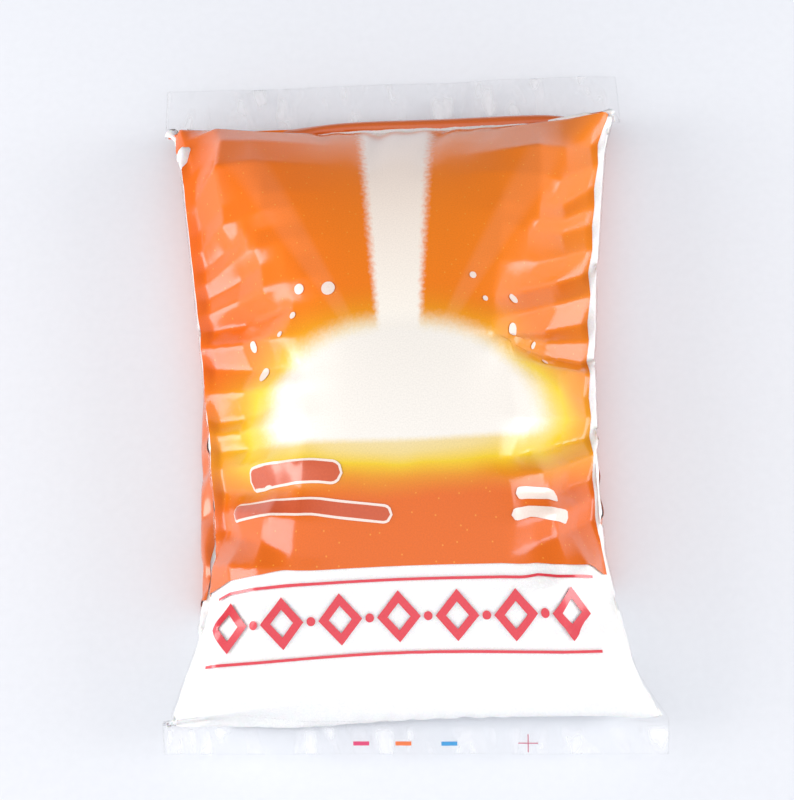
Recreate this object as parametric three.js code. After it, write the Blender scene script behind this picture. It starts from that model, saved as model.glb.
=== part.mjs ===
// A film bag of granulated sugar, lying on its back with the printed face up.
// Millimetres: +X to the right, +Y towards the top seal, +Z up. The origin is on the
// surface it lies on, under the middle of the bag.
import * as THREE from 'three';

// the film tube and its two heat-sealed fins
const sealWidth = 225;
const overallLength = 350;
const bottomFinRun = 13;
const topFinRun = 31.5;
const finThickness = 1.2;
const bottomSealHeight = 15;
const topSealHeight = 10;
const bottomTipHeight = 5;
const topTipHeight = 1;

// the filled body: sugar settles towards the bottom seal, so the bag is a blunt wedge
const bulge = 60.6;
const bulgeSkew = 1;
const bulgeFullness = 0.59;
const waist = 23;
const waistSkew = 0.7;
const waistFullness = 0.69;
const lean = 2;

// the cross-section: crowned above the side folds, flattened below them by the surface
const crownPower = 2.7;
const crownRoundness = 1.9;
const foldLift = 14.5;
const foldSkew = 2;
const foldFullness = 0.35;
const undersidePress = 1.7;
const undersideFullness = 0.4;

// creases in the slack film of the side folds: side, place along the bag, depth, half-width
// across the crease, reach in from the side and slant (mm along per mm inwards)
const creases = [
  { side: -1, y: 128, depth: 3.0, spread: 9, reach: 46, slant: -0.25 },
  { side: -1, y: 88, depth: 2.0, spread: 8, reach: 40, slant: 0.2 },
  { side: -1, y: 38, depth: 5.5, spread: 9, reach: 58, slant: 0.15 },
  { side: -1, y: -13, depth: 5.0, spread: 8, reach: 54, slant: 0.3 },
  { side: -1, y: -62, depth: 2.5, spread: 8, reach: 44, slant: 0.35 },
  { side: -1, y: -104, depth: 2.5, spread: 9, reach: 48, slant: 0.4 },
  { side: 1, y: 112, depth: 3.0, spread: 9, reach: 46, slant: -0.2 },
  { side: 1, y: 70, depth: 2.0, spread: 8, reach: 40, slant: 0.1 },
  { side: 1, y: 30, depth: 5.0, spread: 9, reach: 56, slant: 0.2 },
  { side: 1, y: -27, depth: 3.5, spread: 8, reach: 52, slant: 0.3 },
  { side: 1, y: -78, depth: 3.5, spread: 8, reach: 50, slant: 0.4 },
];

// how finely the solid is divided: slices along the bag, and steps across each face
const slices = 70;
const stepsAcross = 20;
const finSlices = 3;

const bottomSealY = -overallLength / 2 + bottomFinRun;
const topSealY = overallLength / 2 - topFinRun;
const lerp = THREE.MathUtils.lerp;

// share of the full depth that the filling reaches at a place between the seals
function fullness(t) {
  return Math.sin(Math.PI * t ** bulgeSkew) ** bulgeFullness;
}

// half-width, shift of the middle to the left, height of the side folds, crown and underside
// depth of the section at t, which runs from 0 at the bottom seal to 1 at the top seal
function section(t) {
  const sealHeight = lerp(bottomSealHeight, topSealHeight, t);
  const middle = Math.sin(Math.PI * t);
  const crown = bulge * fullness(t);
  const lift = foldLift * Math.sin(Math.PI * t ** foldSkew) ** foldFullness;
  const fold = sealHeight + Math.min(lift, 0.6 * crown);
  return {
    half: sealWidth / 2 - waist * Math.sin(Math.PI * t ** waistSkew) ** waistFullness,
    shift: lean * Math.sin(Math.PI * t ** foldSkew),
    fold,
    rise: sealHeight + crown - fold,
    drop: undersidePress * fold * middle ** undersideFullness,
  };
}

// how deep the creases are at a point of the film, given its distance from its side fold
function creaseDepth(side, y, inward) {
  let depth = 0;
  for (const crease of creases) {
    if (crease.side !== side || inward > crease.reach) continue;
    const across = (y - crease.y - crease.slant * inward) / crease.spread;
    const fade = Math.cos(0.5 * Math.PI * inward / crease.reach) ** 2;
    depth += crease.depth * fade * Math.exp(-across * across);
  }
  return depth;
}

// one point of the filled body; face is 1 on the printed side and -1 underneath, and
// share runs from -1 at the left side fold to 1 at the right
function bodyPoint(t, share, face) {
  const y = lerp(bottomSealY, topSealY, t);
  const { half, shift, fold, rise, drop } = section(t);
  const side = Math.sign(share) || 1;
  const pinch = creaseDepth(side, y, 0);
  const x = share * (half - 0.5 * pinch * Math.abs(share) ** 3);
  const curve = Math.max(0, 1 - Math.abs(share) ** crownPower) ** (1 / crownRoundness);
  const thin = 0.5 * finThickness * face * Math.sqrt(1 - share * share);
  if (face < 0) return [x - shift, y, Math.max(0, fold - drop * curve + thin)];
  const ends = Math.min(1, 6 * t, 6 * (1 - t));
  const relief = ends * curve * creaseDepth(side, y, half - Math.abs(x));
  return [x - shift, y, fold + rise * curve + thin - relief];
}

// one point of a sealed fin; t runs from 0 at the seal to 1 at its free edge
function finPoint(t, share, face, sealY, tipY, sealHeight, tipHeight) {
  const thin = 0.5 * finThickness * face * Math.sqrt(1 - share * share);
  const z = lerp(sealHeight, tipHeight, t) + thin;
  return [share * sealWidth / 2, lerp(sealY, tipY, t), Math.max(0, z)];
}

// a ring of points round the bag: over the printed face from left to right, and back underneath
function ring(pointAt) {
  const points = [];
  for (let i = 0; i < stepsAcross; i += 1) {
    points.push(pointAt(-Math.cos(Math.PI * i / stepsAcross), 1));
  }
  for (let i = 0; i < stepsAcross; i += 1) {
    points.push(pointAt(Math.cos(Math.PI * i / stepsAcross), -1));
  }
  return points;
}

function bagRings() {
  const rings = [];
  for (let i = finSlices; i > 0; i -= 1) {
    rings.push(ring((share, face) => finPoint(
      i / finSlices, share, face, bottomSealY, -overallLength / 2, bottomSealHeight, bottomTipHeight)));
  }
  for (let i = 0; i <= slices; i += 1) {
    const t = 0.5 - 0.5 * Math.cos(Math.PI * i / slices);
    rings.push(ring((share, face) => bodyPoint(t, share, face)));
  }
  for (let i = 1; i <= finSlices; i += 1) {
    rings.push(ring((share, face) => finPoint(
      i / finSlices, share, face, topSealY, overallLength / 2, topSealHeight, topTipHeight)));
  }
  return rings;
}

// joins the rings with triangles, and closes the free edge of each fin
function bagGeometry() {
  const rings = bagRings();
  const around = 2 * stepsAcross;
  const index = [];
  for (let row = 0; row < rings.length - 1; row += 1) {
    for (let i = 0; i < around; i += 1) {
      const a = row * around + i;
      const b = row * around + (i + 1) % around;
      index.push(a, b, b + around, a, b + around, a + around);
    }
  }
  const last = (rings.length - 1) * around;
  for (let i = 0; i < stepsAcross; i += 1) {
    const under = (around - i) % around;
    const nextUnder = around - i - 1;
    if (i > 0) {
      index.push(i, under, nextUnder);
      index.push(last + i, last + nextUnder, last + under);
    }
    if (i < stepsAcross - 1) {
      index.push(i, nextUnder, i + 1);
      index.push(last + i, last + i + 1, last + nextUnder);
    }
  }
  const geometry = new THREE.BufferGeometry();
  geometry.setAttribute('position', new THREE.Float32BufferAttribute(rings.flat(2), 3));
  geometry.setIndex(index);
  geometry.computeVertexNormals();
  return geometry;
}

// glossy polyethylene film, orange over most of the face
const film = new THREE.MeshStandardMaterial({ color: 0xe8783c, roughness: 0.25, metalness: 0 });

const sugarBag = new THREE.Mesh(bagGeometry(), film);
sugarBag.name = 'sugar_bag';

const packet = new THREE.Group();
packet.add(sugarBag);

export default packet;
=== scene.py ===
import math

import bpy
import numpy as np
from mathutils import Matrix, Vector


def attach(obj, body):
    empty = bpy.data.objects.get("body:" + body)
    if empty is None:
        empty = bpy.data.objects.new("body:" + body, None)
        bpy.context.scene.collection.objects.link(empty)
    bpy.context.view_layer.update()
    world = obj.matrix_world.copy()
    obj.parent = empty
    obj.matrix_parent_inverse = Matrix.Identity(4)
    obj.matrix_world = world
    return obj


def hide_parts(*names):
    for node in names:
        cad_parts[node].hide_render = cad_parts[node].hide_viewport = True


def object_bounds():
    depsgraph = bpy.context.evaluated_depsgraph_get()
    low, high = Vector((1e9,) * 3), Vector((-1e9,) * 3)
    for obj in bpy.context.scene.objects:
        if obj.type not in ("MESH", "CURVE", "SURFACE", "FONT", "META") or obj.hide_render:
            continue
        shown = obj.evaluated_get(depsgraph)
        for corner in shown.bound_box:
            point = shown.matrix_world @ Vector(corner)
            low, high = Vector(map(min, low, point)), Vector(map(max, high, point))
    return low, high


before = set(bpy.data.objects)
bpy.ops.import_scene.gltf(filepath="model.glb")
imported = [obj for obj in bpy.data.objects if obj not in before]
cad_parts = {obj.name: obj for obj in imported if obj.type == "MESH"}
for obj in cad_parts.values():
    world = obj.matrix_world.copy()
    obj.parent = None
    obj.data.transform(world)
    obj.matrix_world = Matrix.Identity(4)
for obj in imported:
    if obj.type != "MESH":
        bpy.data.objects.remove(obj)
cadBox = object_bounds()
print("frame loaded")

# what a user would change about the bag itself
bag = {
    "flatWidth": 228.0,  # the lay-flat tube, a 9 inch bag
    "flatLength": 324.0,  # film between the two seals
    "bottomFin": 16.0,  # heat-sealed strip at each end
    "topFin": 33.0,
    "volume": 2.80e6,  # cubic mm of sugar
    "bottomPack": 0.7,  # how much deeper the sugar lies towards the bottom seal
    "sideSlack": 0.08,  # share of spare film length along the side folds
    "slackReach": 80.0,  # how far in from the side fold the spare film fades out
    # the full bag's side folds from the middle, left and right, from the bottom seal (0) to the
    # top seal (1)
    "halfWidths": ((0, 111, 111), (0.07, 104, 100), (0.16, 94.5, 93), (0.25, 87.5, 88),
                   (0.36, 90, 87.5), (0.52, 94, 88), (0.67, 99, 91.5), (0.88, 106, 99.5),
                   (1, 111, 109)),
    "sideHold": 0.05,  # how firmly the side folds are drawn to those widths
    "sideTuck": 0.15,  # share of the film round the bag that is gathered in crumples at each fold
    "tuckReach": 22.0,
    "pinch": 0.3,  # how hard the creases pull the film in
    "filmStiffness": 0.015,
    "foldAngle": 75.0,  # the blown tube keeps a crease along each side, opened to this angle
    "foldReach": 8.0,
    "bottomSealHeight": 15.0,
    "bottomTipHeight": 5.0,
    "topSealHeight": 10.0,
    "topTipHeight": 1.5,
    "bottomSealSkew": 3.0,  # each seal's right end lies this much further out than its middle
    "topSealSkew": 1.4,
    "seed": 7,
}

# creases in the slack film: side, place along the bag at the side and at the inner end,
# reach inwards, depth
creases = [
    (-1, 103, 126, 30, 2.6),
    (-1, 78, 86, 34, 1.6),
    (-1, 60, 68, 40, 1.6),
    (-1, 47, 51, 46, 2.6),
    (-1, 33, 27, 72, 4.0),
    (-1, 17, -3, 66, 3.0),
    (-1, -10, -15, 54, 3.4),
    (-1, -22, -36, 72, 3.0),
    (-1, -41, -59, 78, 3.0),
    (-1, -58, -87, 70, 2.6),
    (-1, -98, -98, 50, 2.0),
    (1, 128, 112, 32, 2.2),
    (1, 106, 78, 36, 2.4),
    (1, 86, 66, 40, 1.8),
    (1, 62, 27, 68, 3.2),
    (1, 36, 8, 70, 2.8),
    (1, 14, 10, 54, 3.2),
    (1, -8, -10, 36, 1.8),
    (1, -25, -49, 72, 3.4),
    (1, -44, -62, 46, 3.0),
    (1, -63, -90, 72, 2.8),
    (1, -100, -120, 42, 2.2),
]


facets = {
    "stations": (0.0, 8.0, 27.0, 48.0, 68.0, 92.0),  # bends across the creases, inwards from the fold
    "jitter": 6.0,
    "valley": 0.75,  # share of a crease's depth that the film folds inwards
    "ridge": 0.45,  # and outwards between two creases
    "crumple": 1.0,  # the lengthwise crumple close beside the fold
    "unrest": 0.4,
    "fade": (56.0, 90.0),  # from here inwards the facets fade into the smooth face
    "sealFade": 8.0,
    "plainLines": 32,  # evenly spaced lines along the bag, kept beyond the outermost creases
    "plainMargins": (12.0, 8.0),  # that far from the first and the last crease
}


# the film as a grid of points: rows run along the bag, columns round the tube from the left
# side fold, over the printed face to the right fold and back underneath
def flatTube(columns):
    width, length = bag["flatWidth"], bag["flatLength"]
    stepAround = 2 * width / columns
    finRows = round(bag["bottomFin"] / stepAround), round(bag["topFin"] / stepAround)
    bodyRows = round(length / stepAround)
    stepAlong = length / bodyRows
    rows = bodyRows + sum(finRows) + 1
    column = np.arange(columns)
    half = columns // 2
    across = np.where(column <= half, column / half - 0.5, 1.5 - column / half) * width
    along = (np.arange(rows) - finRows[0]) * stepAlong - length / 2
    points = np.zeros((rows, columns, 3), np.float32)
    points[..., 0] = across
    points[..., 1] = along[:, None]
    filled = np.sin(np.pi * np.clip((np.arange(rows) - finRows[0]) / bodyRows, 0, 1))
    side = np.where(column < half, 1.0, -1.0)
    points[..., 2] = 12 + 8 * side * filled[:, None] * np.clip(1 - (2 * across / width) ** 2, 0, 1)
    return {"points": points, "moves": np.zeros_like(points), "stepAround": stepAround,
            "stepAlong": stepAlong, "finRows": finRows}


# doubles the grid both ways, with cubic midpoints
def finerTube(tube):
    points = tube["points"]
    rows, columns = points.shape[:2]
    fine = np.zeros((2 * rows - 1, 2 * columns, 3), np.float32)
    fine[::2, ::2] = points
    near = points + np.roll(points, -1, 1)
    fine[::2, 1::2] = (9 * near - np.roll(points, 1, 1) - np.roll(points, -2, 1)) / 16
    even = fine[::2]
    middle = (even[:-1] + even[1:]) / 2
    middle[1:-1] = (9 * (even[1:-2] + even[2:-1]) - even[:-3] - even[3:]) / 16
    fine[1::2] = middle
    return {"points": fine, "moves": np.zeros_like(fine), "stepAround": tube["stepAround"] / 2,
            "stepAlong": tube["stepAlong"] / 2, "finRows": tuple(2 * count for count in tube["finRows"])}


def volumeAndNormals(points):
    ring = np.roll(points, -1, 1)
    a, b, c, d = points[:-1], ring[:-1], ring[1:], points[1:]
    area = 0.5 * np.cross(c - a, d - b)
    volume = float((area * (a + b + c + d)).sum()) / 12
    normals = np.zeros_like(points)
    shared = 0.25 * (area + np.roll(area, 1, 1))
    normals[:-1] += shared
    normals[1:] += shared
    return volume, normals


# moves two sets of points towards their rest distance
def holdLength(a, b, rest, whenLong, whenShort):
    gap = b - a
    length = np.sqrt((gap * gap).sum(-1, keepdims=True)) + 1e-9
    share = 0.5 * (length - rest) / length
    gap *= np.where(share > 0, share * whenLong, share * whenShort)
    a += gap
    b -= gap


def smoothWave(random, count, step, waveLength):
    knots = random.uniform(-1, 1, int(count * step / waveLength) + 4)
    t = np.linspace(0, len(knots) - 1.001, count)
    low = t.astype(int)
    ease = (t - low) ** 2 * (3 - 2 * (t - low))
    return knots[low] * (1 - ease) + knots[low + 1] * ease


# how much longer the film is than the room it has, at each point
def spareLength(tube, amount):
    random = np.random.default_rng(bag["seed"])
    rows, columns = tube["points"].shape[:2]
    column = np.arange(columns)
    along = (np.arange(rows) - tube["finRows"][0]) * tube["stepAlong"] - bag["flatLength"] / 2
    fade = np.clip(1 - np.abs(2 * along / bag["flatLength"]) ** 5, 0, 1)
    field = np.ones((rows, columns), np.float32)
    for fold in (0, columns // 2):
        steps = np.abs((column - fold + columns // 2) % columns - columns // 2)
        share = amount * bag["sideSlack"] * (1 + 0.5 * smoothWave(random, rows, tube["stepAlong"], 30)) * fade
        fadeIn = np.exp(-(steps * tube["stepAround"] / bag["slackReach"]) ** 2)
        field += (share[:, None] * fadeIn).astype(np.float32)
    return field


# the film round the bag that lies gathered near each side fold, as a share of its length
def gatheredShare(tube):
    rows, columns = tube["points"].shape[:2]
    place = (np.arange(rows) - tube["finRows"][0]) * tube["stepAlong"] / bag["flatLength"]
    fade = np.interp(place, (0, 0.08, 0.16, 0.5, 0.75, 1), (0, 0.7, 1, 1, 0.5, 0))
    column = np.arange(columns) + 0.5
    half = columns // 2
    steps = np.minimum(np.minimum(column, columns - column), np.abs(column - half))
    near = np.exp(-(steps * tube["stepAround"] / bag["tuckReach"]) ** 2)
    return (bag["sideTuck"] * fade[:, None] * near[None]).astype(np.float32)[..., None]


# draws the two side folds in to the width that the full bag has there
def holdSides(tube, strength):
    points = tube["points"]
    rows, columns = points.shape[:2]
    place = (np.arange(rows) - tube["finRows"][0]) * tube["stepAlong"] / bag["flatLength"]
    body = (place > 0.02) & (place < 0.98)
    shares, lefts, rights = zip(*bag["halfWidths"])
    middle = points[tube["finRows"][0], :, 0].mean()
    for fold, side, widths in ((0, -1, lefts), (columns // 2, 1, rights)):
        goal = middle + side * np.interp(place, shares, widths)[body].astype(np.float32)
        for k in (-1, 0, 1):
            edge = points[body, (fold + k) % columns, 0]
            points[body, (fold + k) % columns, 0] = edge + strength * (goal - edge)


# where the creases run, from 0 to 1: on the face, and a short way round underneath
def creaseField(tube):
    rows, columns = tube["points"].shape[:2]
    along = ((np.arange(rows) - tube["finRows"][0]) * tube["stepAlong"] - bag["flatLength"] / 2)[:, None]
    half = columns // 2
    column = np.arange(columns)
    field = np.zeros((rows, columns), np.float32)
    for side, start, end, reach, depth in creases:
        fold = 0 if side < 0 else half
        signed = (column - fold) * -side if side > 0 else np.where(column > half, column - columns, column)
        signed = signed * tube["stepAround"]
        inward = np.where(signed >= 0, signed, -signed * 2.5)[None]
        line = start + (end - start) * inward / reach
        fade = np.clip(1 - (inward / reach) ** 2, 0, 1) * np.clip(inward / 6, 0.3, 1)
        width = max(3.0, 1.0 * tube["stepAlong"])
        field = np.maximum(field, depth / 3 * fade * np.exp(-((along - line) / width) ** 2))
    return field[..., None]


# the sealed fins are stiff: each stays a straight strip, sloping down to its free edge
def holdFins(tube, strength):
    points = tube["points"]
    rows, columns = points.shape[:2]
    half = columns // 2
    column = np.arange(columns)
    mirror = (-column) % columns
    across = np.where(column <= half, 2 * column / half - 1, 3 - 2 * column / half)
    bottomSeal, topSeal = tube["finRows"][0], rows - tube["finRows"][1] - 1
    ends = ("bottom", slice(0, bottomSeal + 1), bottomSeal, -1), ("top", slice(topSeal, rows), topSeal, 1)
    for end, strip, sealRow, way in ends:
        sealHeight = bag[end + "SealHeight"]
        slope = (sealHeight - bag[end + "TipHeight"]) / bag[end + "Fin"]
        out = np.abs(np.arange(rows)[strip] - sealRow)[:, None] * tube["stepAlong"]
        now = 0.5 * (points[strip] + points[strip][:, mirror])
        goal = np.empty_like(now)
        goal[..., 0] = points[sealRow, :, 0].mean() + across * 0.4925 * bag["flatWidth"]
        reach = out * math.sqrt(1 - slope ** 2) + bag[end + "SealSkew"] * across
        goal[..., 1] = points[sealRow, :, 1].mean() + way * reach
        goal[..., 2] = sealHeight - out * slope
        points[strip] = now + strength * (goal - now)


# lets the film settle round the sugar: it keeps its length, holds the volume, rests on the
# surface and is pressed outwards more the deeper the sugar lies
def settle(tube, steps, sweeps, weight, push, stiffness, damping, spare=None, filling=False, squeeze=0.95,
           folds=True, finStrength=0.3, pinch=0.0):
    points = tube["points"]
    stepAround, stepAlong, finRows = tube["stepAround"], tube["stepAlong"], tube["finRows"]
    rows, columns = points.shape[:2]
    restAround = stepAround * (1 - gatheredShare(tube))
    pull = creaseField(tube) * pinch if pinch else 0
    opening = 2 * math.sin(math.radians(bag["foldAngle"]) / 2) * stepAround
    foldSteps = round(bag["foldReach"] / stepAround) if folds else 0
    body = slice(finRows[0] + 1, rows - finRows[1] - 1)
    for step in range(steps):
        target = bag["volume"] * (min(1, 0.2 + step / (0.62 * steps)) if filling else 1)
        restAlong = np.full((rows - 1, columns, 1), stepAlong, np.float32)
        restUp = restDown = np.sqrt(restAround[:-1] ** 2 + stepAlong ** 2)
        if spare is not None:
            field = spareLength(tube, min(1, spare[0] + (spare[1] - spare[0]) * step / (0.6 * steps)))
            restAlong = (stepAlong * (field[:-1] + field[1:]) / 2)[..., None]
            tall = stepAlong * (field[:-1] + np.roll(field, -1, 1)[1:]) / 2
            restUp = np.sqrt(restAround[:-1] ** 2 + tall[..., None] ** 2)
            tall = stepAlong * (field[:-1] + np.roll(field, 1, 1)[1:]) / 2
            restDown = np.sqrt(np.roll(restAround, 1, 1)[:-1] ** 2 + tall[..., None] ** 2)
        volume, normals = volumeAndNormals(points)
        pressure = -push * (points[..., 2:3] + bag["bottomPack"] * points[..., 1:2])
        level = np.abs(normals[..., 2:3])
        pressure -= (pressure * level).sum() / level.sum()
        load = normals * (pressure - pull) / (stepAround * stepAlong)
        load[..., 2] -= weight
        before = points.copy()
        points += tube["moves"] * damping + load
        for sweep in range(sweeps):
            volume, normals = volumeAndNormals(points)
            normals[:finRows[0] + 1] = 0
            normals[-finRows[1] - 1:] = 0
            points -= normals * ((volume - target) / float((normals * normals).sum()))
            holdLength(points[:, 0::2], points[:, 1::2], restAround[:, 0::2], 1, squeeze)
            a = points[:, 1::2].copy()
            b = np.roll(points[:, 0::2], -1, 1)
            holdLength(a, b, restAround[:, 1::2], 1, squeeze)
            points[:, 1::2] = a
            points[:, 0::2] = np.roll(b, 1, 1)
            for odd in (0, 1):
                count = (rows - odd) // 2 * 2
                low, high = slice(odd, odd + count, 2), slice(odd + 1, odd + count, 2)
                if len(range(*high.indices(rows))) < len(range(*low.indices(rows))):
                    low = slice(odd, odd + count - 1, 2)
                holdLength(points[low], points[high], restAlong[low], 1, squeeze)
                for turn, rest in ((-1, restUp), (1, restDown)):
                    b = np.roll(points[high], turn, 1)
                    holdLength(points[low], b, rest[low], 0.5, 0.3)
                    points[high] = np.roll(b, -turn, 1)
            for k in range(1, foldSteps + 1):
                for fold in (0, columns // 2):
                    a = points[body, (fold + k) % columns].copy()
                    b = points[body, (fold - k) % columns].copy()
                    holdLength(a, b, opening * k, 0.5, 0)
                    points[body, (fold + k) % columns] = a
                    points[body, (fold - k) % columns] = b
            bow = (np.roll(points, -1, 1) + np.roll(points, 1, 1)) / 2 - points
            points += stiffness * (bow - (np.roll(bow, -1, 1) + np.roll(bow, 1, 1)) / 2)
            bow = np.zeros_like(points)
            bow[1:-1] = (points[2:] + points[:-2]) / 2 - points[1:-1]
            points[1:-1] += stiffness * (bow[1:-1] - (bow[2:] + bow[:-2]) / 2)
            if not filling:
                holdSides(tube, bag["sideHold"])
            holdFins(tube, finStrength)
            np.maximum(points[..., 2], 0, out=points[..., 2])
        points[..., 0] -= points[..., 0].mean()
        tube["moves"] = points - before


# the settled film at 2 mm spacing, in three passes from coarse to fine
def settledFilm():
    random = np.random.default_rng(bag["seed"])
    tube = flatTube(56)
    settle(tube, steps=240, sweeps=8, weight=0.01, push=0.0015, stiffness=0.15, damping=0.95,
           filling=True, squeeze=0.3, folds=False, finStrength=0.1)
    tube = finerTube(tube)
    tube["points"] += random.normal(0, 0.25, tube["points"].shape).astype(np.float32)
    settle(tube, steps=180, sweeps=10, weight=0.0015, push=0.00024, stiffness=bag["filmStiffness"],
           damping=0.93, spare=(0, 1), pinch=bag["pinch"])
    tube = finerTube(tube)
    settle(tube, steps=60, sweeps=12, weight=0.0004, push=0.00006, stiffness=bag["filmStiffness"],
           damping=0.93, spare=(1, 1), pinch=bag["pinch"] / 4)
    return tube


tube = settledFilm()
print("film settled")

# the film in metres, centred where the frame is
skin = tube["points"].astype(float) / 1000
boxMiddle = (np.array(cadBox[0]) + np.array(cadBox[1])) / 2
for axis in (0, 1):
    skin[..., axis] += boxMiddle[axis] - (skin[..., axis].min() + skin[..., axis].max()) / 2
mm = 0.001
cellAround, cellAlong = tube["stepAround"] * mm, tube["stepAlong"] * mm
skinRows, skinColumns = skin.shape[:2]
finRows = tube["finRows"]
filmLength = (skinRows - 1) * cellAlong


def skinNormals(points):
    normals = volumeAndNormals(points.astype(np.float32))[1].astype(float)
    normals /= np.linalg.norm(normals, axis=-1, keepdims=True) + 1e-12
    return normals


def between(grid, row, column):
    row = np.clip(row, 0, skinRows - 1.001)
    low, left = row.astype(int), np.floor(column).astype(int)
    up, across = (row - low)[:, None], (column - left)[:, None]
    a, b = grid[low, left % skinColumns], grid[low, (left + 1) % skinColumns]
    c, d = grid[low + 1, left % skinColumns], grid[low + 1, (left + 1) % skinColumns]
    return (a * (1 - across) + b * across) * (1 - up) + (c * (1 - across) + d * across) * up


# the slack film along both sides lies in flat facets between valley lines and ridges
def facetedSkin(skin, normals):
    random = np.random.default_rng(bag["seed"] + 1)
    length = bag["flatLength"]
    along = (np.arange(skinRows) - finRows[0]) * cellAlong / mm - length / 2
    half = skinColumns // 2
    faceted = skin.copy()
    for side in (-1, 1):
        valleys = sorted(line[1:] for line in creases if line[0] == side)
        # towards the seals the film is left smooth
        first = valleys[0][0] - facets["plainMargins"][0]
        last = max(valleys[-1][0], valleys[-1][1]) + facets["plainMargins"][1]
        everyLine = np.arange(-length / 2, length / 2 + 1, length / facets["plainLines"])
        lines = [(at, at, facets["fade"][1], 0) for at in everyLine if at < first or at > last]
        for k, (start, end, reach, depth) in enumerate(valleys):
            lines.append((start, end, reach, -facets["valley"] * depth))
            if k + 1 < len(valleys):
                nextStart, nextEnd, nextReach, nextDepth = valleys[k + 1]
                lines.append(((start + nextStart) / 2, (end + nextEnd) / 2, (reach + nextReach) / 2,
                              facets["ridge"] * (depth + nextDepth) / 2))
        inward = np.arange(0, facets["fade"][1], cellAround / mm)
        places, paths = [], []
        for start, end, reach, height in lines:
            stations = np.array(facets["stations"])
            stations[2:] += random.uniform(-1, 1, len(stations) - 2) * facets["jitter"] * (height != 0)
            share = np.clip(stations / reach, 0, 1)
            heights = height * np.clip(1.15 - (stations / (1.3 * reach)) ** 2, 0, 1)
            heights = heights * np.clip(stations / 20, 0, 1)
            heights[1] -= facets["crumple"] * random.uniform(0.3, 1)
            heights[1:] += facets["unrest"] * random.uniform(-1, 1, len(stations) - 1)
            heights *= height != 0
            row = (start + (end - start) * share + length / 2) * mm / cellAlong + finRows[0]
            column = stations * mm / cellAround if side < 0 else half - stations * mm / cellAround
            nodes = between(skin, row, column) + between(normals, row, column) * heights[:, None] * mm
            places.append(start + (end - start) * np.clip(inward / reach, 0, 1))
            paths.append([np.interp(inward, stations, nodes[:, axis]) for axis in range(3)])
        places, paths = np.array(places), np.array(paths)
        for k, distance in enumerate(inward):
            order = np.argsort(places[:, k])
            fadeStart, fadeEnd = facets["fade"]
            weight = np.clip((fadeEnd - distance) / (fadeEnd - fadeStart), 0, 1) * min(1, 0.3 + distance / 8)
            weight = weight * np.clip((length / 2 - np.abs(along)) / facets["sealFade"], 0, 1)
            column = k if side < 0 else half - k
            for axis in range(3):
                flat = np.interp(along, places[order, k], paths[order, axis, k])
                faceted[:, column, axis] += weight * (flat - skin[:, column, axis])
    return faceted


finWaves = {
    "broadLength": 26.0,
    "fineLength": 8.0,
    "top": (0.6, 1.3, 0.3),  # lift of the free edge, broad waves and fine waves, in millimetres
    "bottom": (0.4, 0.4, 0.6),
    "growth": 1.3,  # they grow towards the free edge by this power
}


# small waves across the free fins
def finRelief():
    random = np.random.default_rng(bag["seed"] + 2)
    half = skinColumns // 2
    lift = np.zeros((skinRows, skinColumns))
    for top in (False, True):
        broad = smoothWave(random, half + 1, cellAround / mm, finWaves["broadLength"])
        fine = smoothWave(random, half + 1, cellAround / mm, finWaves["fineLength"])
        lifted, broadHeight, fineHeight = finWaves["top" if top else "bottom"]
        wave = lifted + broadHeight * broad + fineHeight * fine
        wave = np.concatenate([wave, wave[1:-1][::-1]])
        count = finRows[int(top)]
        for out in range(count + 1):
            row = skinRows - 1 - count + out if top else count - out
            lift[row] = wave * (out / count) ** finWaves["growth"] * mm
    return lift


normals = skinNormals(skin)
gap = np.zeros((skinRows, 1, 1))
gap[:finRows[0]] = gap[-finRows[1]:] = 0.12 * mm  # the air between a fin's two layers
skin = facetedSkin(skin, normals) + normals * gap
skin[..., 2] += finRelief()
skin[..., 2] = np.maximum(skin[..., 2], 0.0004)  # the print underneath must clear the surface
print("creases pressed")


# a place on the film from its distance round and along, in metres, by cubic interpolation
def filmAt(around, along):
    around, along = np.asarray(around, float) / cellAround, np.asarray(along, float) / cellAlong
    column, row = np.floor(around).astype(int), np.floor(along).astype(int)
    total = np.zeros(np.broadcast(around, along).shape + (3,))
    def weights(t):
        return ((-t ** 3 + 2 * t ** 2 - t) / 2, (3 * t ** 3 - 5 * t ** 2 + 2) / 2,
                (-3 * t ** 3 + 4 * t ** 2 + t) / 2, (t ** 3 - t ** 2) / 2)
    for i, weightAlong in enumerate(weights(along - row)):
        for j, weightAround in enumerate(weights(around - column)):
            points = skin[np.clip(row + i - 1, 0, skinRows - 1), (column + j - 1) % skinColumns]
            total += points * (weightAlong * weightAround)[..., None]
    return total


def filmNormal(around, along):
    reach = 0.7 * mm
    across = filmAt(around + reach, along) - filmAt(around - reach, along)
    ahead = filmAt(around, np.minimum(along + reach, filmLength))
    up = ahead - filmAt(around, np.maximum(along - reach, 0))
    normal = np.cross(across, up)
    return normal / (np.linalg.norm(normal, axis=-1, keepdims=True) + 1e-12)


# a mesh object from points and faces, with the film distances kept for the materials
def meshPiece(name, points, faces, material, filmPlaces=None, smooth=True, sharpRims=False):
    mesh = bpy.data.meshes.new(name)
    mesh.from_pydata(np.asarray(points).reshape(-1, 3).tolist(), [], faces)
    mesh.update()
    if smooth:
        mesh.polygons.foreach_set("use_smooth", [True] * len(mesh.polygons))
    if sharpRims:
        mesh.set_sharp_from_angle(angle=math.radians(50))
    if filmPlaces is not None:
        attribute = mesh.attributes.new("filmPlace", "FLOAT_VECTOR", "POINT")
        places = np.zeros((len(mesh.vertices), 3), np.float32)
        places[:, :2] = np.asarray(filmPlaces).reshape(-1, 2)
        attribute.data.foreach_set("vector", places.ravel())
    mesh.materials.append(material)
    piece = bpy.data.objects.new(name, mesh)
    bpy.context.scene.collection.objects.link(piece)
    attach(piece, "root")
    return piece


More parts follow.
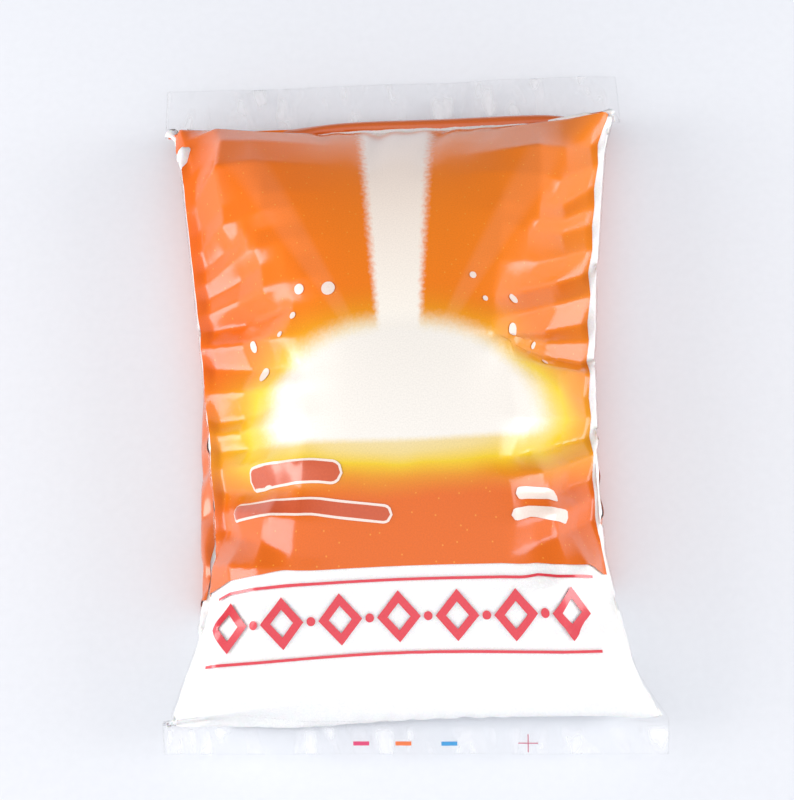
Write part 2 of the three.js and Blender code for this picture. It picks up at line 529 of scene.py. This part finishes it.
def gridFaces(rows, columns, closed=False):
    across = columns if closed else columns - 1
    faces = []
    for r in range(rows - 1):
        low, high = r * columns, (r + 1) * columns
        for c in range(across):
            after = (c + 1) % columns
            faces.append((low + c, low + after, high + after, high + c))
    return faces


def linear(hexColour):
    parts = [int(hexColour[i:i + 2], 16) / 255 for i in (1, 3, 5)]
    return tuple(p / 12.92 if p <= 0.04045 else ((p + 0.055) / 1.055) ** 2.4 for p in parts) + (1.0,)


def newMaterial(name):
    material = bpy.data.materials.new(name)
    material.use_nodes = True
    material.node_tree.nodes.clear()
    return material


# adds one node; settings are its properties, and inputs are sockets to link or plain values
def add(material, kind, settings=None, inputs=None):
    tree = material.node_tree
    node = tree.nodes.new("ShaderNode" + kind)
    for key, value in (settings or {}).items():
        if key == "stops":
            ramp = node.color_ramp
            while len(ramp.elements) < len(value):
                ramp.elements.new(0.5)
            for element, (place, colour) in zip(ramp.elements, value):
                element.position = place
                element.color = linear(colour) if isinstance(colour, str) else (colour, colour, colour, 1)
        else:
            setattr(node, key, value)
    for key, value in (inputs or {}).items():
        if isinstance(value, bpy.types.Node):
            value = value.outputs[0]
        if isinstance(value, bpy.types.NodeSocket):
            tree.links.new(value, node.inputs[key])
        else:
            node.inputs[key].default_value = value
    return node


# the film is sampled on one grid of lines, with a line on every edge of the big printed fields
filmGrid = {
    "spacing": 1.5,
    "faceField": (1.6, 223.0, 86.0, 344.0),  # around from, to, along from, to
    "backField": (234.0, 450.0, 86.0, 344.0),
}


def filmLines(length, edges, spacing):
    lines = np.linspace(0, length, round(length / spacing) + 1)
    for edge in edges:
        lines = lines[np.abs(lines - edge) > 0.35 * spacing] if 0 < edge < length else lines
        lines = np.append(lines, edge)
    return np.unique(np.clip(lines, 0, length))


edges = filmGrid["faceField"], filmGrid["backField"]
alongLines = filmLines(filmLength / mm, [e for field in edges for e in field[2:]], filmGrid["spacing"])
sideEdges = [e for field in edges for e in field[:2]] + [bag["flatWidth"]]
aroundLines = filmLines(2 * bag["flatWidth"], sideEdges, filmGrid["spacing"])[:-1]
aroundGrid, alongGrid = np.meshgrid(aroundLines * mm, alongLines * mm)
filmPoints = filmAt(aroundGrid, alongGrid)
filmNormals = filmNormal(aroundGrid, alongGrid)
print("film sampled", filmPoints.shape)


# closes the two open ends of a tube of points whose columns run once round
def endFaces(rows, columns, aroundPlaces):
    half = int(np.argmin(np.abs(aroundPlaces - bag["flatWidth"])))
    faces = []
    for row, flip in ((0, False), (rows - 1, True)):
        front = [row * columns + c for c in range(half + 1)]
        back = [row * columns + c % columns for c in range(columns, half - 1, -1)]
        i = j = 0
        while i < len(front) - 1 or j < len(back) - 1:
            # takes the next point on whichever side is behind
            if j == len(back) - 1 or (i < len(front) - 1 and (i + 1) / len(front) <= (j + 1) / len(back)):
                face = (front[i], back[j], front[i + 1])
                i += 1
            else:
                face = (front[i], back[j], back[j + 1])
                j += 1
            if len(set(face)) == 3:
                faces.append(face[::-1] if flip else face)
    return faces


def tubePiece(name, points, aroundPlaces, alongPlaces, material):
    rows, columns = points.shape[:2]
    faces = gridFaces(rows, columns, closed=True) + endFaces(rows, columns, aroundPlaces)
    places = np.stack(np.meshgrid(aroundPlaces, alongPlaces), -1)
    return meshPiece(name, points, faces, material, places)


# a thin layer of ink on a block of the film's own grid, closed like a slab
def fieldPiece(name, field, material, lift=0.13, thickness=0.06):
    columns = np.where((aroundLines >= field[0] - 0.01) & (aroundLines <= field[1] + 0.01))[0]
    rows = np.where((alongLines >= field[2] - 0.01) & (alongLines <= field[3] + 0.01))[0]
    block = np.ix_(rows, columns)
    places = np.stack([aroundGrid[block], alongGrid[block]], -1) / mm
    return slabPiece(name, [(filmPoints[block], filmNormals[block], places)], material, lift, thickness)


# joins blocks of film points into one mesh of closed slabs
def slabPiece(name, blocks, material, lift=0.4, thickness=0.08):
    allPoints, allFaces, allPlaces = [], [], []
    start = 0
    for points, normals, places in blocks:
        rows, columns = points.shape[:2]
        top = points + normals * lift * mm
        under = points + normals * (lift - thickness) * mm
        count = rows * columns
        faces = gridFaces(rows, columns)
        allFaces += [tuple(start + i for i in face) for face in faces]
        allFaces += [tuple(start + count + i for i in face[::-1]) for face in faces]
        rim = ([c for c in range(columns)] + [r * columns + columns - 1 for r in range(1, rows)]
               + [(rows - 1) * columns + c for c in range(columns - 2, -1, -1)]
               + [r * columns for r in range(rows - 2, 0, -1)])
        for i, j in zip(rim, rim[1:] + rim[:1]):
            allFaces.append((start + j, start + i, start + count + i, start + count + j))
        allPoints += [top.reshape(-1, 3), under.reshape(-1, 3)]
        allPlaces += [places.reshape(-1, 2)] * 2
        start += 2 * count
    points, places = np.concatenate(allPoints), np.concatenate(allPlaces)
    return meshPiece(name, points, allFaces, material, places, sharpRims=True)


# a block of film points for a grid of film places in millimetres
def blockAt(places):
    around, along = places[..., 0] * mm, places[..., 1] * mm
    return filmAt(around, along), filmNormal(around, along), places


# a straight stroke with square ends, on the film
def stroke(start, end, width, endWidth=None, step=1.5):
    start, end = np.array(start, float), np.array(end, float)
    length = np.linalg.norm(end - start)
    side = np.array([end[1] - start[1], start[0] - end[0]]) / length
    t = np.linspace(0, 1, max(2, int(length / step) + 1))[:, None, None]
    across = np.linspace(-0.5, 0.5, max(2, int(width / step) + 2))[None, :, None]
    widths = width + ((endWidth if endWidth is not None else width) - width) * t
    return blockAt(start + (end - start) * t + side * across * widths)


# a closed band between two outlines of the same number of points
def band(inner, outer, steps=2):
    t = np.linspace(0, 1, steps + 1)[:, None, None]
    inner, outer = np.vstack([inner, inner[:1]]), np.vstack([outer, outer[:1]])
    return blockAt((1 - t) * inner[None] + t * outer[None])


def disc(centre, radius, steps=20):
    angles = np.linspace(0, 2 * math.pi, steps, endpoint=False)
    outline = np.stack([np.cos(angles), np.sin(angles)], -1)
    return band(outline * 0.02 + centre, outline * radius + centre, max(1, round(radius / 1.5)))


# low-density polyethylene, blown: clear and glossy, so the sugar and what lies below show
# through, with a faint milky haze and broad soft reflections
def blownFilmMaterial():
    material = newMaterial("blownPolyethyleneFilm")
    place = add(material, "Attribute", {"attribute_name": "filmPlace"})
    # die lines of the blown tube run lengthwise, drawn 6 mm apart because real ones are too fine
    lines = add(material, "Mapping", {}, {"Vector": place.outputs["Vector"], "Scale": (1 / 6, 1 / 90, 1)})
    haze = add(material, "TexNoise", {}, {"Vector": lines, "Scale": 1.0, "Detail": 3.0})
    hazeAndPaintedHighlightShare = add(material, "MapRange", {}, {"Value": haze.outputs[0], "To Min": 0.0, "To Max": 0.01})
    ripple = add(material, "Bump", {}, {"Height": haze.outputs[0], "Strength": 0.10, "Distance": 0.0006})
    # past the seals the two layers are crinkled every 12 mm or so; the light these crinkles catch is a
    # painted highlight, bright patches of white milk laid on the film by a noise mask rather than by its
    # shape
    along = add(material, "SeparateXYZ", {}, {0: place.outputs["Vector"]}).outputs[1]
    sealsMiddle = (filmLength / mm + bag["bottomFin"] - bag["topFin"]) / 2
    sealsReach = (filmLength / mm - bag["bottomFin"] - bag["topFin"]) / 2
    fromMiddle = add(material, "Math", {"operation": "SUBTRACT"}, {0: along, 1: sealsMiddle})
    finPart = add(material, "Math", {"operation": "ABSOLUTE"}, {0: fromMiddle})
    finPart = add(material, "MapRange", {}, {"Value": finPart, "From Min": sealsReach + 1.5,
                                             "From Max": sealsReach + 5.5})
    paintedCrinkleHighlight = add(material, "Mapping", {}, {"Vector": place.outputs["Vector"],
                                            "Scale": (1 / 12, 1 / 34, 1)})
    paintedCrinkleHighlight = add(material, "TexNoise", {}, {"Vector": paintedCrinkleHighlight, "Scale": 1.0, "Detail": 1.5,
                                             "Distortion": 0.4})
    paintedCrinkleHighlight = add(material, "MapRange", {"interpolation_type": "SMOOTHSTEP"},
                  {"Value": paintedCrinkleHighlight.outputs[0], "From Min": 0.52, "From Max": 0.78, "To Max": 0.6})
    paintedCrinkleHighlight = add(material, "Math", {"operation": "MULTIPLY"}, {0: paintedCrinkleHighlight, 1: finPart})
    # the painted fin highlights join the faint haze here, as a larger share of white milk
    hazeAndPaintedHighlightShare = add(material, "Math", {"operation": "MAXIMUM"}, {0: hazeAndPaintedHighlightShare, 1: paintedCrinkleHighlight})
    # each wall has two faces, so it is kept low, as each layer also shades what lies under it
    tilt = add(material, "LayerWeight", {}, {"Blend": 0.5, "Normal": ripple})
    grazing = add(material, "Math", {"operation": "POWER"}, {0: tilt.outputs["Facing"], 1: 5.0})
    shine = add(material, "MapRange", {}, {"Value": grazing, "To Min": 0.01, "To Max": 0.35})
    # white milk: the film's faint haze, and also the painted highlights on the fins
    milkyHazeAndPaintedHighlight = add(material, "BsdfDiffuse", {}, {"Color": linear("#f4f4f6")})
    clear = add(material, "BsdfTransparent", {}, {"Color": linear("#ffffff")})
    through = add(material, "MixShader", {}, {0: hazeAndPaintedHighlightShare, 1: clear, 2: milkyHazeAndPaintedHighlight})
    gloss = add(material, "BsdfGlossy", {}, {"Roughness": 0.14, "Color": linear("#ffffff"),
                                             "Normal": ripple})
    surface = add(material, "MixShader", {}, {0: shine, 1: through, 2: gloss})
    add(material, "OutputMaterial", {}, {"Surface": surface})
    return material


# refined cane sugar, crystals about 0.6 mm: bright white with a fine glitter
def granulatedSugarMaterial():
    material = newMaterial("granulatedSugar")
    place = add(material, "TexCoord")
    # crystals 0.6 mm across, in metres of object space
    crystals = add(material, "TexVoronoi", {}, {"Vector": place.outputs["Object"], "Scale": 1 / 0.0006})
    shade = add(material, "ValToRGB", {"stops": [(0.0, "#eaeae8"), (0.5, "#eeeeed"), (1.0, "#f6f6f6")]},
                {"Fac": crystals.outputs["Color"]})
    relief = add(material, "Bump", {}, {"Height": crystals.outputs["Distance"], "Strength": 0.35,
                                        "Distance": 0.0002})
    surface = add(material, "BsdfPrincipled", {},
                  {"Base Color": shade, "Roughness": 0.55, "IOR": 1.54, "Normal": relief,
                   "Subsurface Weight": 0.15, "Subsurface Scale": 0.002})
    add(material, "OutputMaterial", {}, {"Surface": surface})
    return material


# the look of the printed face: places are around and along the film, in millimetres
facePrint = {
    "sunPlace": (115.0, 150.0),
    "sunSize": (72.0, 45.0),
    "glowSize": (96.0, 42.0),
    "glowBelow": 24.0,
    "shaftHalfAngle": 0.06,
    "shaftRoot": 110.0,  # the middle beam opens from this far below the horizon
    "rayCount": 13.0,
    "domeBelow": 12.0,
    "ground": [(0.0, "#ec6a08"), (0.3, "#f47a0c"), (0.55, "#f6820c"), (0.8, "#ee7a0a"), (1.0, "#ea8010")],
    "lowGround": "#e46a08",
    "specks": "#f6ac3c",
    "glow": [(0.0, "#efe3c9"), (0.42, "#eed489"), (0.56, "#efc91f"), (0.72, "#eaa714"), (1.0, "#df7804")],
    "glowShare": [(0.0, 1.0), (0.55, 1.0), (0.95, 0.0)],
    "beam": [(0.0, "#fff8ec"), (0.5, "#fff0e2"), (1.0, "#ffebe0")],
    "dome": "#f6f0e7",
}


# how far a place is from a middle, where 1 is the rim of an oval that is flatter below than above
def ovalDistance(material, x, y, halfWidth, above, below):
    up = add(material, "Math", {"operation": "DIVIDE"}, {0: y, 1: above})
    down = add(material, "Math", {"operation": "DIVIDE"}, {0: y, 1: -below})
    height = add(material, "Math", {"operation": "MAXIMUM"}, {0: up, 1: down})
    width = add(material, "Math", {"operation": "DIVIDE"}, {0: x, 1: halfWidth})
    both = add(material, "CombineXYZ", {}, {0: width, 1: height})
    return add(material, "VectorMath", {"operation": "LENGTH"}, {0: both}).outputs["Value"]


# flexographic ink on polyethylene, four colours through a fine screen: even orange with a slight
# grain, as glossy as the film, lightly pebbled where sugar presses from behind
def orangeInkMaterial():
    material = newMaterial("flexoInkOrange")
    place = add(material, "Attribute", {"attribute_name": "filmPlace"}).outputs["Vector"]
    parts = add(material, "SeparateXYZ", {}, {0: place})
    across, along = parts.outputs[0], parts.outputs[1]
    cloud = add(material, "TexNoise", {}, {"Vector": place, "Scale": 1 / 45, "Detail": 2.0})
    drift = add(material, "Math", {"operation": "MULTIPLY_ADD"}, {0: cloud.outputs[0], 1: 40.0, 2: across})
    groundPlace = add(material, "MapRange", {}, {"Value": drift, "From Min": 20.0, "From Max": 248.0})
    ground = add(material, "ValToRGB", {"stops": facePrint["ground"]}, {"Fac": groundPlace})
    lowFactor = add(material, "MapRange", {"interpolation_type": "SMOOTHSTEP"},
                    {"Value": along, "From Min": 175.0, "From Max": 120.0})
    ground = add(material, "MixRGB", {}, {"Fac": lowFactor, "Color1": ground,
                                          "Color2": linear(facePrint["lowGround"])})
    # stray yellow dots, about 0.6 mm across
    speckPlace = add(material, "TexVoronoi", {"voronoi_dimensions": "2D"},
                     {"Vector": place, "Scale": 1 / 10})
    speck = add(material, "MapRange", {}, {"Value": speckPlace.outputs["Distance"], "From Min": 0.045,
                                           "From Max": 0.025, "To Max": 0.6})
    ground = add(material, "MixRGB", {}, {"Fac": speck, "Color1": ground,
                                          "Color2": linear(facePrint["specks"])})

    sunX, sunY = facePrint["sunPlace"]
    x = add(material, "Math", {"operation": "SUBTRACT"}, {0: across, 1: sunX})
    y = add(material, "Math", {"operation": "SUBTRACT"}, {0: along, 1: sunY})
    # the glow lies over the horizon and, more shallow, below it
    glowWidth, glowHeight = facePrint["glowSize"]
    glowDistance = ovalDistance(material, x, y, glowWidth, glowHeight, facePrint["glowBelow"])
    glowWander = add(material, "Math", {"operation": "MULTIPLY_ADD"},
                     {0: cloud.outputs[0], 1: 0.35, 2: glowDistance})
    glowPlace = add(material, "MapRange", {}, {"Value": glowWander, "From Min": 0.17, "From Max": 1.77})
    glowColour = add(material, "ValToRGB", {"stops": facePrint["glow"]}, {"Fac": glowPlace})
    glowShare = add(material, "ValToRGB", {"stops": facePrint["glowShare"]}, {"Fac": glowPlace})
    picture = add(material, "MixRGB", {}, {"Fac": glowShare, "Color1": ground, "Color2": glowColour})

    # pale rays fan out from the sun, the middle one broad and bright
    angle = add(material, "Math", {"operation": "ARCTAN2"}, {0: x, 1: y})
    spread = add(material, "Math", {"operation": "ABSOLUTE"}, {0: angle})
    root = add(material, "Math", {"operation": "ADD"}, {0: y, 1: facePrint["shaftRoot"]})
    beamAngle = add(material, "Math", {"operation": "ARCTAN2"}, {0: x, 1: root})
    beamSpread = add(material, "Math", {"operation": "ABSOLUTE"}, {0: beamAngle})
    grain = add(material, "TexNoise", {}, {"Vector": place, "Scale": 1 / 2.2, "Detail": 3.0})
    beamSpread = add(material, "Math", {"operation": "MULTIPLY_ADD"},
                     {0: grain.outputs[0], 1: 0.02, 2: beamSpread})
    half = facePrint["shaftHalfAngle"]
    shaft = add(material, "MapRange", {"interpolation_type": "SMOOTHSTEP"},
                {"Value": beamSpread, "From Min": half + 0.025, "From Max": half})
    turns = add(material, "Math", {"operation": "MULTIPLY"}, {0: angle, 1: facePrint["rayCount"]})
    wave = add(material, "Math", {"operation": "COSINE"}, {0: turns})
    rays = add(material, "MapRange", {"interpolation_type": "SMOOTHSTEP"},
               {"Value": wave, "From Min": 0.55, "From Max": 0.95, "To Max": 0.04})
    rayFade = add(material, "MapRange", {"interpolation_type": "SMOOTHSTEP"},
                  {"Value": spread, "From Min": 1.25, "From Max": 0.3})
    rays = add(material, "Math", {"operation": "MULTIPLY"}, {0: rays, 1: rayFade})
    beams = add(material, "Math", {"operation": "MAXIMUM"}, {0: shaft, 1: rays})
    height = add(material, "MapRange", {"interpolation_type": "SMOOTHSTEP"},
                 {"Value": y, "From Min": 10.0, "From Max": 45.0})
    beams = add(material, "Math", {"operation": "MULTIPLY"}, {0: beams, 1: height})
    beamPlace = add(material, "MapRange", {}, {"Value": y, "From Min": 45.0, "From Max": 170.0})
    beamColour = add(material, "ValToRGB", {"stops": facePrint["beam"]}, {"Fac": beamPlace})
    picture = add(material, "MixRGB", {}, {"Fac": beams, "Color1": picture, "Color2": beamColour})

    # the sun: a low dome on a soft horizon
    domeWidth, domeHeight = facePrint["sunSize"]
    domeDistance = ovalDistance(material, x, y, domeWidth, domeHeight, facePrint["domeBelow"])
    domeWander = add(material, "Math", {"operation": "MULTIPLY_ADD"},
                     {0: grain.outputs[0], 1: 0.08, 2: domeDistance})
    dome = add(material, "MapRange", {"interpolation_type": "SMOOTHSTEP"},
               {"Value": domeWander, "From Min": 1.14, "From Max": 0.84})
    picture = add(material, "MixRGB", {}, {"Fac": dome, "Color1": picture,
                                           "Color2": linear(facePrint["dome"])})

    # the screen's dots are 0.17 mm apart, drawn as a 0.7 mm grain so that it shows
    screen = add(material, "TexNoise", {}, {"Vector": place, "Scale": 1 / 0.7, "Detail": 2.0})
    tone = add(material, "MapRange", {}, {"Value": screen.outputs[0], "From Min": 0.3, "From Max": 0.7,
                                          "To Min": 0.91, "To Max": 1.0})
    picture = add(material, "MixRGB", {"blend_type": "MULTIPLY"},
                  {"Fac": 1.0, "Color1": picture, "Color2": tone})
    pebble = add(material, "Bump", {}, {"Height": screen.outputs[0], "Strength": 0.10, "Distance": 0.0004})
    surface = add(material, "BsdfPrincipled", {},
                  {"Base Color": picture, "Roughness": 0.2, "IOR": 1.5, "Normal": pebble,
                   "Specular IOR Level": 0.5, "Specular Tint": linear("#8cdcff"),
                   "Coat Weight": 0.2, "Coat Roughness": 0.12, "Coat Normal": pebble})
    add(material, "OutputMaterial", {}, {"Surface": surface})
    return material


# the same ink in one colour: a slight screen grain and the film's gloss
def spotInkMaterial(name, colour, darker):
    material = newMaterial(name)
    place = add(material, "Attribute", {"attribute_name": "filmPlace"}).outputs["Vector"]
    # drawn as a 1 mm grain, where the real screen is 0.17 mm
    screen = add(material, "TexNoise", {}, {"Vector": place, "Scale": 1.0, "Detail": 2.0})
    tone = add(material, "ValToRGB", {"stops": [(0.3, darker), (0.7, colour)]}, {"Fac": screen.outputs[0]})
    surface = add(material, "BsdfPrincipled", {}, {"Base Color": tone, "Roughness": 0.28, "IOR": 1.5,
                                                   "Coat Weight": 0.7, "Coat Roughness": 0.12})
    add(material, "OutputMaterial", {}, {"Surface": surface})
    return material


clearFilm = blownFilmMaterial()
sugarGrains = granulatedSugarMaterial()
orangeInk = orangeInkMaterial()
redInk = spotInkMaterial("flexoInkRed", "#d93040", "#d12a3b")
paleInk = spotInkMaterial("flexoInkPale", "#efe0d5", "#ebd6ca")
rimInk = spotInkMaterial("flexoInkDeepOrange", "#c9521f", "#c14b1b")
print("materials made")

film = tubePiece("clearFilm", filmPoints, aroundLines, alongLines, clearFilm)
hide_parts("sugar_bag")

# the sugar fills the film from seal to seal, just inside it
sugar = {
    "inset": 0.45,
    "sealGap": 3.5,  # the film's two sides meet this far from the sugar
    "sealInset": 1.1,  # how much further in it lies beside a seal, where the film turns sharply
    "sealReach": 7.0,
    "spacing": 1.2,
    "relief": 0.10,
}


def sugarPiece():
    low = bag["bottomFin"] + sugar["sealGap"]
    high = filmLength / mm - bag["topFin"] - sugar["sealGap"]
    rows = np.linspace(low, high, round((high - low) / sugar["spacing"]))
    count = 2 * round(bag["flatWidth"] / sugar["spacing"])
    columns = np.linspace(0, 2 * bag["flatWidth"], count, endpoint=False)
    around, along = np.meshgrid(columns * mm, rows * mm)
    random = np.random.default_rng(bag["seed"] + 3)
    depth = sugar["inset"] + sugar["relief"] * random.uniform(-1, 1, around.shape)
    fromSeal = np.minimum(rows - low, high - rows)[:, None]
    depth = depth + sugar["sealInset"] * np.exp(-fromSeal / sugar["sealReach"])
    points = filmAt(around, along) - filmNormal(around, along) * depth[..., None] * mm
    # near the folds the sides close on each other, so the sugar stops a little short of them
    middle = skinMiddle(along)
    points[..., 0] += (middle - points[..., 0]) * 0.004
    points[..., 2] = np.maximum(points[..., 2], 0.0008)
    return tubePiece("granulatedSugar", points, columns, rows, sugarGrains)


def skinMiddle(along):
    rows = along / cellAlong
    return np.interp(rows, np.arange(skinRows), skin[..., 0].mean(1))


core = sugarPiece()
print("film and sugar made")

faceField = fieldPiece("orangeFace", filmGrid["faceField"], orangeInk)
plainOrangeInk = spotInkMaterial("flexoInkPlainOrange", "#d5651c", "#cf5e18")
backField = fieldPiece("orangeBack", filmGrid["backField"], plainOrangeInk)

# a row of lozenges between two thin rules, in red below the orange field
ornament = {
    "middle": (109.0, 65.0),
    "length": 178.0,
    "height": 31.0,
    "ruleWidth": 1.2,
    "lozenges": 7,
    "lozengeSize": (19.0, 22.0),
    "lineWidth": 3.4,
    "dotRadius": 1.9,  # between two lozenges
}


def ornamentBlocks():
    x, y = ornament["middle"]
    halfLength, halfHeight = ornament["length"] / 2, ornament["height"] / 2
    blocks = [stroke((x - halfLength, y + way * halfHeight), (x + halfLength, y + way * halfHeight),
                     ornament["ruleWidth"]) for way in (-1, 1)]
    width, height = ornament["lozengeSize"]
    pitch = ornament["length"] / ornament["lozenges"]
    for i in range(ornament["lozenges"]):
        centre = np.array([x + (i - (ornament["lozenges"] - 1) / 2) * pitch, y])
        corners = np.array([(1, 0), (0, 1), (-1, 0), (0, -1)], float) * (width / 2, height / 2)
        outline = np.concatenate([np.linspace(a, b, 8, endpoint=False)
                                  for a, b in zip(corners, np.roll(corners, -1, 0))])
        shrink = 1 - ornament["lineWidth"] / (width / 2) * math.hypot(width, height) / height
        blocks.append(band(outline * shrink + centre, outline + centre))
        if i < ornament["lozenges"] - 1:
            blocks.append(disc(centre + (pitch / 2, 0), ornament["dotRadius"]))
    return blocks


ornamentPiece = slabPiece("redOrnament", ornamentBlocks(), redInk)

# blank labels where the pack would name what it holds and how much
labels = {
    "turn": -0.15,  # radians, so that they look level where the film curves down
    "rim": 1.1,
    "rimLift": 0.5,  # the fills lie over the rims
    "fillLift": 0.6,
    # middle, width and height of each
    "large": [((59.0, 130.0), 58.0, 10.5), ((66.0, 113.5), 86.0, 8.0)],
    "small": [((176.0, 116.0), 26.0, 5.5), ((177.0, 107.0), 34.0, 5.5)],
}


# one round-ended bar
def barBlock(centre, width, height, turn, rows=5):
    radius = height / 2
    x = np.linspace(-1, 1, round(width / 1.2)) * width / 2
    bow = np.clip(np.abs(x) - (width / 2 - radius), 0, radius)
    reach = np.maximum(np.sqrt(radius ** 2 - bow ** 2), 0.05)
    y = np.linspace(-1, 1, rows)[:, None] * reach[None]
    across = np.broadcast_to(x, y.shape)
    cosine, sine = math.cos(turn), math.sin(turn)
    spun = np.stack([across * cosine - y * sine, across * sine + y * cosine], -1)
    return blockAt(spun + np.array(centre))


turn = labels["turn"]
rimBlocks = [barBlock(centre, width, height, turn) for centre, width, height in labels["large"]]
rimBlocks += [barBlock(centre, width, height, -turn / 2, 4) for centre, width, height in labels["small"]]
fillBlocks = [barBlock(centre, width - 2 * labels["rim"], height - 2 * labels["rim"], turn)
              for centre, width, height in labels["large"]]
labelRims = slabPiece("labelRims", rimBlocks, paleInk, labels["rimLift"])
labelFills = slabPiece("labelFills", fillBlocks, rimInk, labels["fillLift"])

# pale dots scattered in two loose arcs over the sun, left and right of the beam
dotArcs = {
    "count": 12,
    "firstAngle": 24.0,  # degrees from straight up, and from each dot to the next
    "angleStep": 8.0,
    "distance": 84.0,
    "wander": 9.0,
    "flatness": 0.85,
    "radii": (3.2, 1.6, 2.4, 1.3),
}
dotBlocks = []
dotRandom = np.random.default_rng(bag["seed"] + 4)
sunX, sunY = facePrint["sunPlace"]
for i in range(dotArcs["count"]):
    angle = math.radians((dotArcs["firstAngle"] + dotArcs["angleStep"] * (i // 2)) * (1 if i % 2 else -1))
    away = dotArcs["distance"] + dotRandom.uniform(-dotArcs["wander"], dotArcs["wander"])
    radius = dotArcs["radii"][(i + i // 4) % 4]
    upwards = dotArcs["flatness"] * away * math.cos(angle)
    dotBlocks.append(disc(np.array([sunX + away * math.sin(angle), sunY + upwards]), radius))
dots = slabPiece("paleDots", dotBlocks, paleInk, 0.5)

# the printer's register marks on the bottom fin
registerMarks = {
    "along": 5.3,
    "halfWidth": 3.6,
    "thickness": 2.0,
    # ink, its darker grain, and the mark's place across the film
    "inks": {
        "registerMagenta": ("#d8306a", "#cc2860", 89.3),
        "registerOrange": ("#e87028", "#de6420", 108.3),
        "registerCyan": ("#1f93d0", "#1a86c2", 129.0),
    },
    "crossMiddle": (164.5, 5.6),
    "crossReach": (4.5, 4.2),
    "crossLine": 0.5,
}
for name, (colour, darker, x) in registerMarks["inks"].items():
    along, halfWidth = registerMarks["along"], registerMarks["halfWidth"]
    bar = stroke((x - halfWidth, along), (x + halfWidth, along), registerMarks["thickness"])
    mark = slabPiece(name, [bar], spotInkMaterial(name + "Ink", colour, darker))
x, y = registerMarks["crossMiddle"]
reachX, reachY = registerMarks["crossReach"]
crossLines = [stroke((x - reachX, y), (x + reachX, y), registerMarks["crossLine"]),
              stroke((x, y - reachY), (x, y + reachY), registerMarks["crossLine"])]
cross = slabPiece("registerCross", crossLines, spotInkMaterial("registerCrossInk", "#c46a80", "#b95f76"))
print("print made")

studio = {
    "floorSize": 8.0,
    "floorTones": [(0.3, "#e3e6eb"), (0.7, "#e5e8ed")],
    "lampColour": "#fffaf6",
    "lampSize": (0.44, 0.8),
    "lampPlace": (0.85, -0.05, 0.27),  # of the right one; the left one is its mirror image
    "lampWatts": {"softboxLeft": 6.2, "softboxRight": 5.0},
    "roomColour": "#fafbff",
    "roomShade": [(0.0, 0.2), (0.3, 0.25), (0.48, 0.8), (1.0, 1.0)],  # from the far side to the near one
    "roomLevel": 1.38,
}


# a pale paper sweep under the bag
def floorPiece():
    material = newMaterial("studioPaper")
    place = add(material, "TexCoord")
    # paper tooth, drawn 4 mm wide because the real fibres are too fine to show
    tooth = add(material, "TexNoise", {}, {"Vector": place.outputs["Object"], "Scale": 1 / 0.004,
                                           "Detail": 2.0})
    tone = add(material, "ValToRGB", {"stops": studio["floorTones"]}, {"Fac": tooth.outputs[0]})
    surface = add(material, "BsdfPrincipled", {}, {"Base Color": tone, "Roughness": 0.9})
    add(material, "OutputMaterial", {}, {"Surface": surface})
    half = studio["floorSize"] / 2
    mesh = bpy.data.meshes.new("studioFloor")
    corners = [(-half, -half, 0), (half, -half, 0), (half, half, 0), (-half, half, 0)]
    mesh.from_pydata(corners, [], [(0, 1, 2, 3)])
    mesh.materials.append(material)
    floor = bpy.data.objects.new("studioFloor", mesh)
    bpy.context.scene.collection.objects.link(floor)


# low lamps at both sides, level with the middle of their own height
def softbox(name, place, watts):
    light = bpy.data.lights.new(name, "AREA")
    light.shape = "RECTANGLE"
    light.size, light.size_y = studio["lampSize"]
    light.energy = watts
    light.color = linear(studio["lampColour"])[:3]
    lamp = bpy.data.objects.new(name, light)
    bpy.context.scene.collection.objects.link(lamp)
    lamp.location = place
    lamp.rotation_euler = (Vector((0, 0, place[2])) - Vector(place)).to_track_quat("-Z", "Y").to_euler()


floorPiece()
lampX, lampY, lampZ = studio["lampPlace"]
for name, side in (("softboxLeft", -1), ("softboxRight", 1)):
    softbox(name, (side * lampX, lampY, lampZ), studio["lampWatts"][name])
# the room is brightest behind the photographer, so the print shows no veil
room = bpy.data.worlds.new("studioRoom")
bpy.context.scene.world = room
room.use_nodes = True
room.node_tree.nodes.clear()
facing = add(room, "TexCoord")
parts = add(room, "SeparateXYZ", {}, {0: facing.outputs["Generated"]})
front = add(room, "MapRange", {}, {"Value": parts.outputs[1], "From Min": 1.0, "From Max": -1.0})
shade = add(room, "ValToRGB", {"stops": studio["roomShade"]}, {"Fac": front})
level = add(room, "Math", {"operation": "MULTIPLY"}, {0: shade, 1: studio["roomLevel"]})
glow = add(room, "Background", {}, {"Color": linear(studio["roomColour"]), "Strength": level})
add(room, "OutputWorld", {}, {"Surface": glow})
bpy.context.scene.view_settings.view_transform = "Standard"

# the camera looks down on the bag from its bottom end, as the photograph does
view = {
    "distance": 1.1483,
    "elevation": 66.7,
    "roll": 1.56,
    "target": (-0.003, -0.0085, 0.025),
    "lens": 111.5,
    "sensor": 36,
}
camera = bpy.data.cameras.new("camera")
camera.sensor_fit = "VERTICAL"
camera.sensor_width = camera.sensor_height = view["sensor"]
camera.lens = view["lens"]
cameraObject = bpy.data.objects.new("camera", camera)
bpy.context.scene.collection.objects.link(cameraObject)
bpy.context.scene.camera = cameraObject
target = Vector(view["target"])
elevation = math.radians(view["elevation"])
place = target + view["distance"] * Vector((0, -math.cos(elevation), math.sin(elevation)))
look = (target - place).to_track_quat("-Z", "Y").to_matrix().to_4x4()
roll = Matrix.Rotation(math.radians(-view["roll"]), 4, "Z")
cameraObject.matrix_world = Matrix.Translation(place) @ look @ roll
print("studio set")
